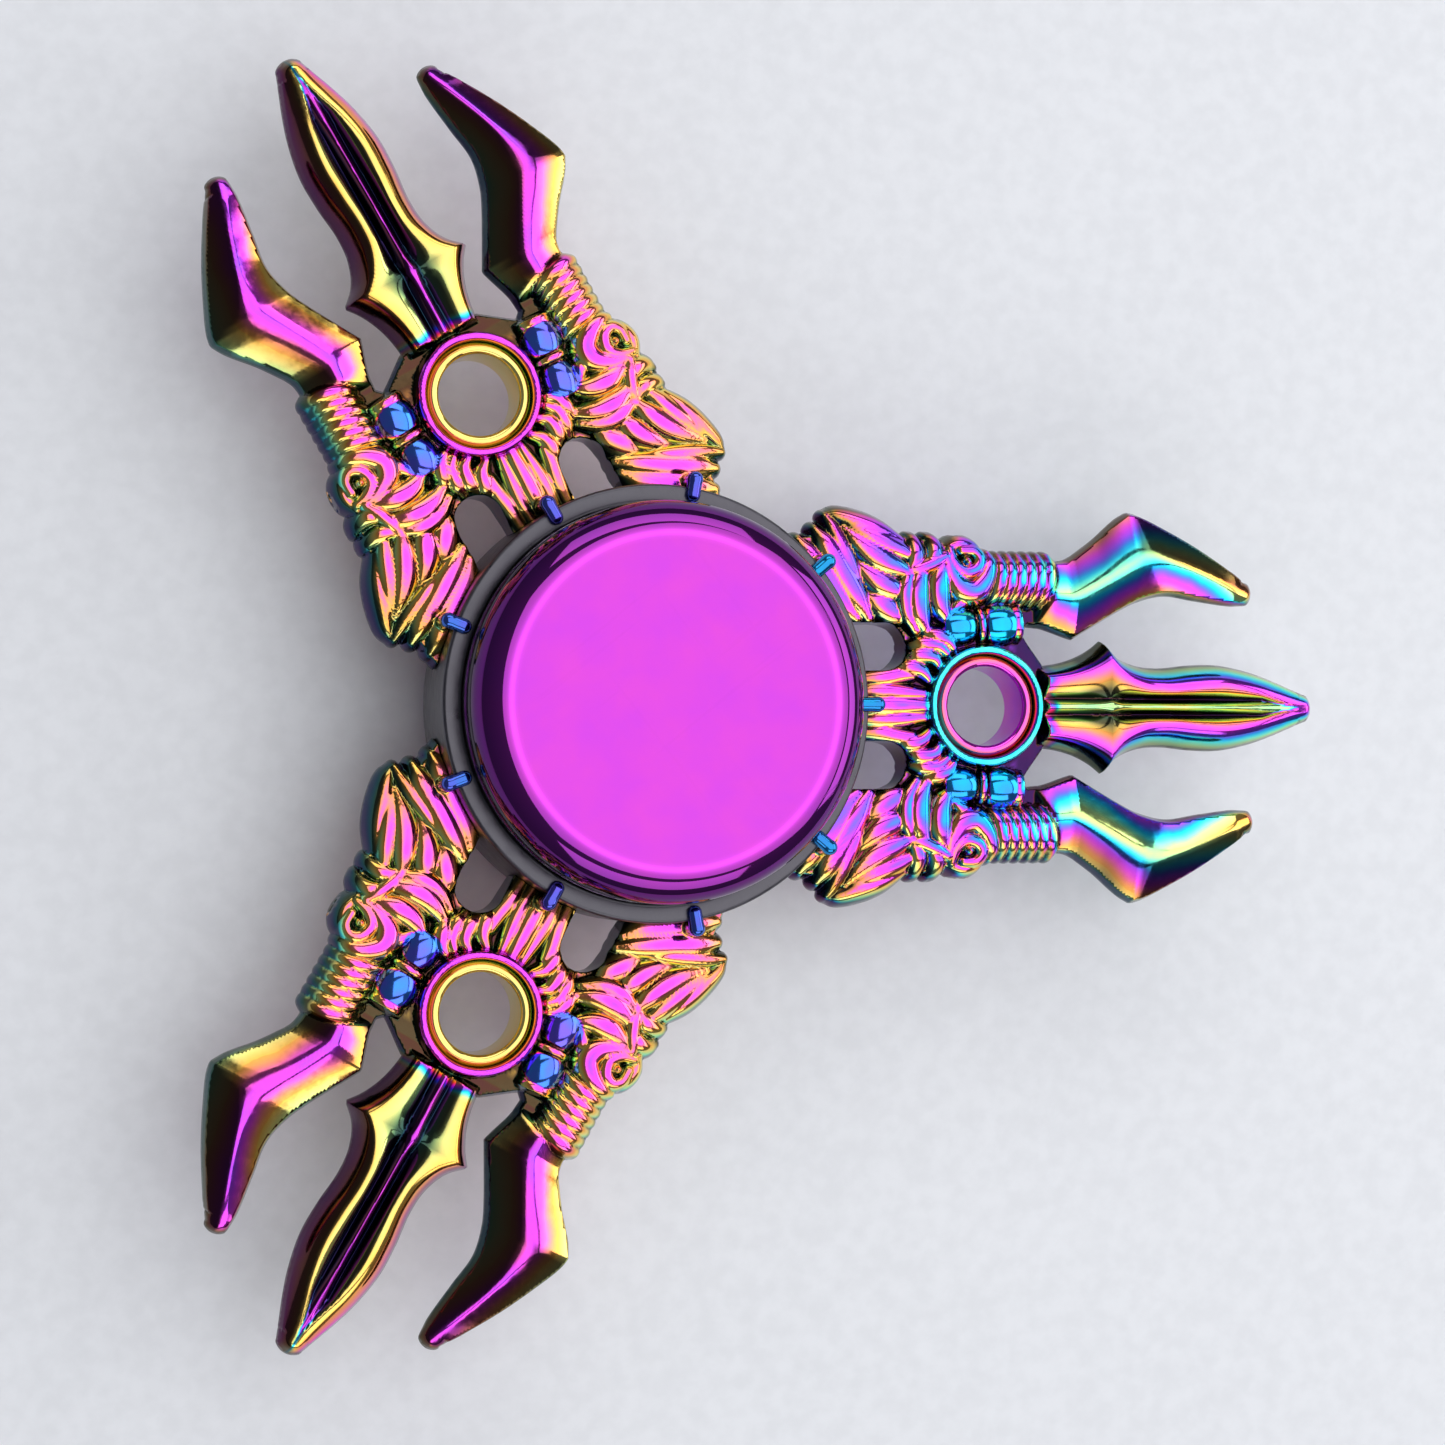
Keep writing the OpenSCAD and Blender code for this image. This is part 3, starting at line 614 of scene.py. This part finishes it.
def armField(x, y, z):
    # below zero inside the casting: |z| less the relief, then the claws, then what is bored or cut away
    field = armShape["fieldShare"] * (np.abs(z) - armHeight(x, y))
    fromAxis = np.hypot(x, y)
    claws = armShape["claws"]
    for angle in claws["anglesDeg"]:
        c, s = math.cos(math.radians(angle)), math.sin(math.radians(angle))
        out, side = x * c + y * s - hubRadius, y * c - x * s
        high = np.abs(z) - hubHalf - claws["lift"]
        post = np.sqrt((out - claws["half"]) ** 2 + side ** 2 + np.maximum(0, high) ** 2)
        hook = np.sqrt(np.maximum(0, np.abs(out) - claws["half"]) ** 2 + side ** 2 + high ** 2)
        claw = softMin(post - claws["radius"], hook - claws["radius"], claws["blend"])
        field = softMin(field, claw, claws["rootBlend"])
    hub = np.maximum(fromAxis - hubRadius, np.abs(z) - hubHalf)
    slot = armShape["slot"]
    slotGap = np.hypot(np.maximum(0, x - slot["endX"]), np.abs(y) - slot["y"]) - slot["halfWidth"]
    fromEye = np.hypot(x - eyeX, y)
    hole = np.minimum(np.minimum(hub, slotGap), fromEye - eyeletRingRadius)
    return softMax(field, -hole, armShape["partBlend"])


def armSkin():
    # cells are finest where the ornament is, and longer along the blades and up the walls;
    # the corners then move down the slope onto the surface, half a cell at most each time
    skin = armShape["skin"]
    step = skin["step"]
    along = np.r_[skin["start"]:skin["blade"]:step,
                  skin["blade"]:armReach + skin["past"]:skin["bladeCells"] * step]
    up = np.r_[skin["wall"]:skin["relief"]:skin["wallStep"], skin["relief"]:skin["claw"]:step,
               skin["claw"]:skin["top"]:skin["clawStep"]]
    corners, faces = skinField(armField, along, np.arange(-skin["side"], skin["side"] + 0.1, step),
                               np.r_[-up[::-1], up])
    for _ in range(3):
        slope = slopeOf(armField, corners, skin["moveReach"])
        steepest = np.maximum((slope ** 2).sum(1), skin["leastSlope"])[:, None]
        move = armField(*corners.T)[:, None] * slope / steepest
        corners = corners - np.clip(move, -0.5 * step, 0.5 * step)
    normals = slopeOf(armField, corners, skin["normalReach"])
    return corners, faces, normals / np.linalg.norm(normals, axis=1)[:, None]


# where each zone of the plating colours and of the painted shade starts and the run it fades in over, in mm,
# or in shares for slopes;
# a start below zero belongs to a measure taken with its sign turned, so the zone lies under it
armZones = {
    "blade": (23.2, 0.8), "hornSide": 3.9,
    "bead": (-1.15, 0.15),
    "collarOut": 0.1, "collar": (-0.45, 0.225), "collarAbove": 1.5,
    "rib": (-0.06, 0.12),
    "lookReach": 0.3, "lookCount": 6, "cavity": (0.045, 0.11), "cavityTilt": 0.05,
    "rim": (-1.15, 0.4), "bladeRimDrop": 0.45,
    "trough": (0.12, 0.35), "troughDeep": (0.1, 0.3),
    "claw": (2.4, 0.3), "steep": (0.86, 0.12),
    "pastBend": 0.4, "backFlank": (0.1, 0.3),
    "shadeBelow": (-1.55, 0.3), "shadeSlope": (0.0857, 0.2857),
    "depthTop": 2.0, "depthMost": 1.4, "hornDepthTop": 0.1, "hornDepthMost": 1.2,
    # how dark the painted shade of each zone is (the claws are simply darker), and how much less dark the
    # beads and the collar stay
    "darkest": 0.93, "clawDark": 0.4, "steepDark": 0.9, "backFlankDark": 0.85,
    "beadSpared": 0.6, "collarSpared": 0.8,
}


def armLooks(corners, normals):
    # the share of every corner in each zone of the plating and of its painted shade, for the arm along X
    zone = armZones
    x, y, z = corners[:, 0], np.abs(corners[:, 1]), np.abs(corners[:, 2])
    blade = fadeIn(x, *zone["blade"])
    onSpear, onHorn = blade * (y < zone["hornSide"]), blade * (y >= zone["hornSide"])
    along, across = balusterPlace(x, y)
    bead = sum(fadeIn(-((along - middle) / halfLength) ** 2 - (across / radius) ** 2, *zone["bead"])
               for middle, halfLength, radius, belly in armShape["baluster"]["barrels"][:2])
    fromCollar = np.abs(np.hypot(x - eyeX, y) - armShape["collar"]["radius"] - zone["collarOut"])
    collar = fadeIn(-fromCollar, *zone["collar"]) * (z > zone["collarAbove"])
    # across the spear: 0 on the roll's crest, 1 at the edge, -1 in the valley
    s = spearSection(x)
    outward = (fadeIn(y, s["ridge"], s["edge"] - s["ridge"])
               - fadeIn(-y, -s["ridge"], s["ridge"] - s["valley"]))
    # cavity: how far a corner lies below the mean of its surroundings, which sets the painted shade in the
    # hollows
    turns = 2 * math.pi * np.arange(zone["lookCount"]) / zone["lookCount"]
    reach = zone["lookReach"]
    around = [armHeight(x + reach * math.cos(a), y + reach * math.sin(a)) for a in turns]
    cavity = fadeIn(np.mean(around, axis=0) - armHeight(x, y), *zone["cavity"])
    cavity *= normals[:, 2] ** 2 > zone["cavityTilt"]
    # painted shade in the spear's valley beside the rib
    trough = onSpear * fadeIn(-outward, *zone["trough"]) * fadeIn(s["centreHigh"] - z, *zone["troughDeep"])
    claw = fadeIn(z, *zone["claw"])
    # painted dark reflection on the steep walls
    steep = fadeIn(np.hypot(normals[:, 0], normals[:, 1]), *zone["steep"]) * (1 - claw)
    h = hornSection(x)
    # painted dark reflection on the horn's outer flank past its bend
    backFlank = onHorn * fadeIn(x, horn["x"][horn["bends"][1]], zone["pastBend"])
    backFlank *= fadeIn(y - h["ridge"], *zone["backFlank"])
    fromTop = np.clip(zone["depthTop"] - z, 0, zone["depthMost"])
    fromRidge = np.clip(h["high"] - zone["hornDepthTop"] - z, 0, zone["hornDepthMost"])
    # painted shade on the low web and walls near the mid-plane, reaching less high on the blades
    rim = fadeIn(-zone["bladeRimDrop"] * blade - z, *zone["rim"])
    # dark: the largest of these shares of painted shade, with the claws darker too
    dark = np.max([cavity, rim, trough, zone["clawDark"] * claw, zone["steepDark"] * steep,
                   zone["backFlankDark"] * backFlank], axis=0)
    return {
        "onSpear": onSpear, "onHorn": onHorn, "bead": bead, "collar": collar, "claw": claw, "dark": dark,
        "rib": onSpear * fadeIn(s["valley"] - y, *zone["rib"]),
        "roll": np.sign(outward) * np.abs(outward) ** filmLook["rollPower"],
        "depth": fromTop + onHorn * (fromRidge - fromTop),
        "shade": np.maximum(blade, fadeIn(-z, *zone["shadeBelow"])),
    }


def makeArms():
    # one skin, turned to each arm's place; its order of colours depends on where it then stands
    corners, faces, normals = armSkin()
    look = armLooks(corners, normals)
    spared = (1 - armZones["beadSpared"] * look["bead"]) * (1 - armZones["collarSpared"] * look["collar"])
    goals = (("rib", "ribOrder"), ("bead", "beadOrder"), ("claw", "beadOrder"), ("collar", "collarOrder"))
    for k in range(3):
        angle = math.radians(120 * k)
        c, s = math.cos(angle), math.sin(angle)
        turn = np.array([[c, s, 0], [-s, c, 0], [0, 0, 1]])
        turned, leaning = corners @ turn, normals @ turn
        right = k == 0
        order = filmOrder(turned, leaning, look["depth"], right, look["onHorn"])
        rollOrder = filmLook["rollOrder"][right] + filmLook["rollSpread"][right] * look["roll"]
        order += look["onSpear"] * (rollOrder - order)
        for share, goal in goals:
            order += look[share] * (filmLook[goal][right] - order)
        # painted shade on the slopes that face -X, joined with the zones' painted shade and eased on the
        # beads and the collar
        shade = look["shade"] * fadeIn(-leaning[:, 0], *armZones["shadeSlope"])
        recess = armZones["darkest"] * np.maximum(look["dark"], shade) * spared
        piece = makeMesh(f"armCasting{k + 1}", turned, faces, armFilm, leaning,
                         filmOrder=order, recess=recess)
        place(piece, "rotor", "plated_arm", f"arm_{k + 1}")
    print("arms made:", len(corners), "corners and", len(faces), "faces each")


makeArms()


capShape = {
    "under": 3.9, "shoulder": 1.9, "foot": 0.4, "dish": 0.5, "lip": 0.35, "lipEndDeg": 98, "bowl": 7.0,
    # crestHalf: half width of the painted highlight along the crest
    "crestHalf": 0.17, "segments": 256,
    "order": 0.262, "shoulderOrder": 0.05,      # film order of the face, and its rise down the shoulder
    "recess": 0.34, "shoulderPaintedShade": 0.54,     # how dark the face is, as an even darker tone, and the painted shade added down the shoulder
}


def makeCaps():
    # a turned cup: foot, wall, round shoulder and lip, then the dished face
    c = capShape
    crest = capRadius - c["shoulder"]
    floorHigh = capTop - c["dish"]
    foot = capRadius - c["foot"]
    profile = [np.array([[0.0, c["under"]], [foot, c["under"]]]),
               arcPoints(foot, c["under"] + c["foot"], c["foot"], -90, 0, 8)[1:],
               arcPoints(crest, capTop - c["shoulder"], c["shoulder"], 0, 90, 28),
               arcPoints(crest, capTop - c["lip"], c["lip"], 90, c["lipEndDeg"], 3)[1:]]
    # from the lip the face falls away as (1 - share of the way in) squared: one shallow bowl
    lipR, lipZ = profile[-1][-1]
    inward = np.linspace(0, 1, 40)[1:]
    fall = floorHigh + (lipZ - floorHigh) * (1 - inward) ** 2
    profile.append(np.stack([lipR - inward * c["bowl"], fall], 1))
    level = np.linspace(lipR - c["bowl"], 0, 30)[1:]
    profile.append(np.stack([level, np.full(len(level), floorHigh)], 1))
    corners, faces = turnProfile(np.concatenate(profile), c["segments"])
    out = np.hypot(corners[:, 0], corners[:, 1])
    shoulder = fadeIn(out, crest, c["shoulder"])
    # painted highlight on the crest: there the darkening falls away as exp(-((out - crest) / crestHalf)
    # squared)
    crestHighlight = np.exp(-((out - crest) / c["crestHalf"]) ** 2) * (corners[:, 2] > capTop / 2)
    order = c["order"] + c["shoulderOrder"] * shoulder
    # the face evenly darker in tone, with painted shade down the shoulder and none on the crest's painted
    # highlight
    recess = (c["recess"] + c["shoulderPaintedShade"] * shoulder ** 0.5) * (1 - crestHighlight)
    for name, node, side in (("topCap", "top_cap", 1), ("bottomCap", "bottom_cap", -1)):
        piece = makeMesh(name, corners * (1, 1, side), faces[:, ::side], capFilm,
                         filmOrder=order, recess=recess)
        closeMesh(piece)
        place(piece, "spindle", "plated_cap", node)
    print("caps made")


hubBand = {"round": 0.25, "segments": 256}
liner = {
    "wall": 0.65, "lip": 0.30, "rim": 0.08, "segments": 128,
    # film order at the bore and its change to the rim, on the right arm and then on the two left ones
    "order": [(0.27, -0.20), (0.88, 0.05), (0.88, 0.05)],
    # painted shade towards the outer rim
    "rimPaintedShade": 0.2,
}


def makeHubBand():
    # a ring whose square section has its four edges rounded
    r = hubBand["round"]
    inner, outer, high = capRadius + r, hubRadius - r, hubHalf - r
    turns = [(inner, high, 180), (outer, high, 90), (outer, -high, 0), (inner, -high, -90)]
    profile = np.concatenate([arcPoints(cx, cz, r, start, start - 90, 6) for cx, cz, start in turns])
    piece = makeMesh("hubBand", *turnProfile(profile, hubBand["segments"]), hubSteel)
    closeMesh(piece)
    place(piece, "rotor", "hub_steel", "hub_ring")


def makeLiners():
    # a tube with a broad round lip towards the bore and a thin rim outside, the same above and below
    wall, lip, rim = liner["wall"], liner["lip"], liner["rim"]
    inner = eyeletRingRadius - wall
    lipHigh = eyeletRingHalf - lip
    half = np.concatenate([arcPoints(inner + lip, lipHigh, lip, 180, 60, 12),
                           arcPoints(inner + wall - rim, lipHigh, rim, 55, 0, 4)])
    profile = np.concatenate([half, half[::-1] * (1, -1)])
    for k, (boreOrder, change) in enumerate(liner["order"]):
        angle = math.radians(120 * k)
        centreX, centreY = eyeX * math.cos(angle), eyeX * math.sin(angle)
        corners, faces = turnProfile(profile, liner["segments"], (centreX, centreY))
        outward = (np.hypot(corners[:, 0] - centreX, corners[:, 1] - centreY) - inner) / wall
        order = boreOrder + change * outward
        # painted shade over the outer half of the wall, growing towards the rim
        recess = liner["rimPaintedShade"] * fadeIn(outward, 0.5, 0.5)
        piece = makeMesh(f"eyeletLiner{k + 1}", corners, faces, ringFilm, filmOrder=order, recess=recess)
        closeMesh(piece)
        place(piece, "rotor", "eyelet_ring", f"eyelet_ring_{k + 1}")


makeCaps()
makeHubBand()
makeLiners()
print("rings made")

bearingLooks = {"bearing_outer_race": bearingSteel, "bearing_inner_race": bearingSteel,
                "upper_shield": sheetSteel, "lower_shield": sheetSteel,
                "cage_upper_half": sheetSteel, "cage_lower_half": sheetSteel, "cage_rivets": sheetSteel,
                "centre_stud": studSteel, **{f"ball_{k}": bearingSteel for k in range(1, 8)}}
for node, metal in bearingLooks.items():
    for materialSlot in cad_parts[node].material_slots:
        materialSlot.material = metal
print("bearing parts finished")


studio = {
    "floorColour": (0.80, 0.81, 0.84), "floorHalf": 3.0, "floorGrain": 900.0,
    "worldColour": (0.80, 0.86, 1.0), "worldStrength": 0.17,
    # name, direction from the object, distance, width, height, radiance
    "panels": [("topPanel", (0.26, 0.03, 0.96), 0.50, 0.62, 0.66, 1.45),
               ("rightPanel", (0.90, 0.10, 0.42), 0.50, 0.50, 0.20, 2.2),
               ("backPanel", (0.10, 0.82, 0.57), 0.50, 0.50, 0.24, 1.7),
               ("frontPanel", (0.10, -0.82, 0.57), 0.50, 0.50, 0.24, 1.7)],
}
view = {"place": (-44.3, -6.3, 176.6), "target": (4.4, -0.95, 0.0), "rollDeg": -0.24, "lens": 81.34}


def link(name, data):
    # an object for the data, in the scene
    thing = bpy.data.objects.new(name, data)
    bpy.context.scene.collection.objects.link(thing)
    return thing


def aim(thing, target, rollDeg):
    # looks along -Z at the target with +Y as near up as it can be, then rolls about the line of sight
    back = (thing.location - Vector(target)).normalized()
    right = Vector((0, 1, 0)).cross(back).normalized()
    frameTurn = Matrix((right, back.cross(right), back)).transposed()
    thing.rotation_euler = (frameTurn @ Matrix.Rotation(math.radians(rollDeg), 3, "Z")).to_euler()


def makeFloor():
    # a pale level square at the height of the lower cap's face, with a faint grain
    size, low = studio["floorHalf"], -capTop * mm
    mesh = bpy.data.meshes.new("floor")
    mesh.from_pydata([(-size, -size, low), (size, -size, low), (size, size, low), (-size, size, low)],
                     [], [(0, 1, 2, 3)])
    material, tree, shader = newMaterial("paleFloor")
    shader.inputs["Metallic"].default_value = 0.0
    shader.inputs["Roughness"].default_value = 0.8
    grain = noiseNode(tree, tree.nodes.new("ShaderNodeTexCoord").outputs["Object"], studio["floorGrain"])
    tone = studio["floorColour"]
    dark, light = [c * 0.96 for c in tone], [c * 1.03 for c in tone]
    tree.links.new(rampNode(tree, grain, [(0.35, dark), (0.65, light)]), shader.inputs["Base Color"])
    mesh.materials.append(material)
    link("floor", mesh)


def makeLights():
    # each panel's energy is its radiance times pi times its area
    bpy.context.scene.view_settings.view_transform = "Standard"
    world = bpy.data.worlds.new("studioWorld")
    world.use_nodes = True
    sky = world.node_tree.nodes["Background"]
    sky.inputs["Color"].default_value = (*studio["worldColour"], 1)
    sky.inputs["Strength"].default_value = studio["worldStrength"]
    bpy.context.scene.world = world
    for name, direction, distance, wide, high, radiance in studio["panels"]:
        lamp = bpy.data.lights.new(name, "AREA")
        lamp.shape = "RECTANGLE"
        lamp.size, lamp.size_y = wide, high
        lamp.energy = radiance * math.pi * wide * high
        panel = link(name, lamp)
        panel.location = Vector(direction).normalized() * distance
        panel.rotation_euler = panel.location.to_track_quat("Z", "Y").to_euler()


def makeCamera():
    # a long lens above and a little to the left of the spin axis
    camera = bpy.data.cameras.new("camera")
    camera.lens = view["lens"]
    camera.sensor_width = 36.0
    camera.clip_start = 0.01
    cameraObject = link("camera", camera)
    cameraObject.location = Vector(view["place"]) * mm
    aim(cameraObject, Vector(view["target"]) * mm, view["rollDeg"])
    bpy.context.scene.camera = cameraObject


makeFloor()
makeLights()
makeCamera()
print("studio ready")
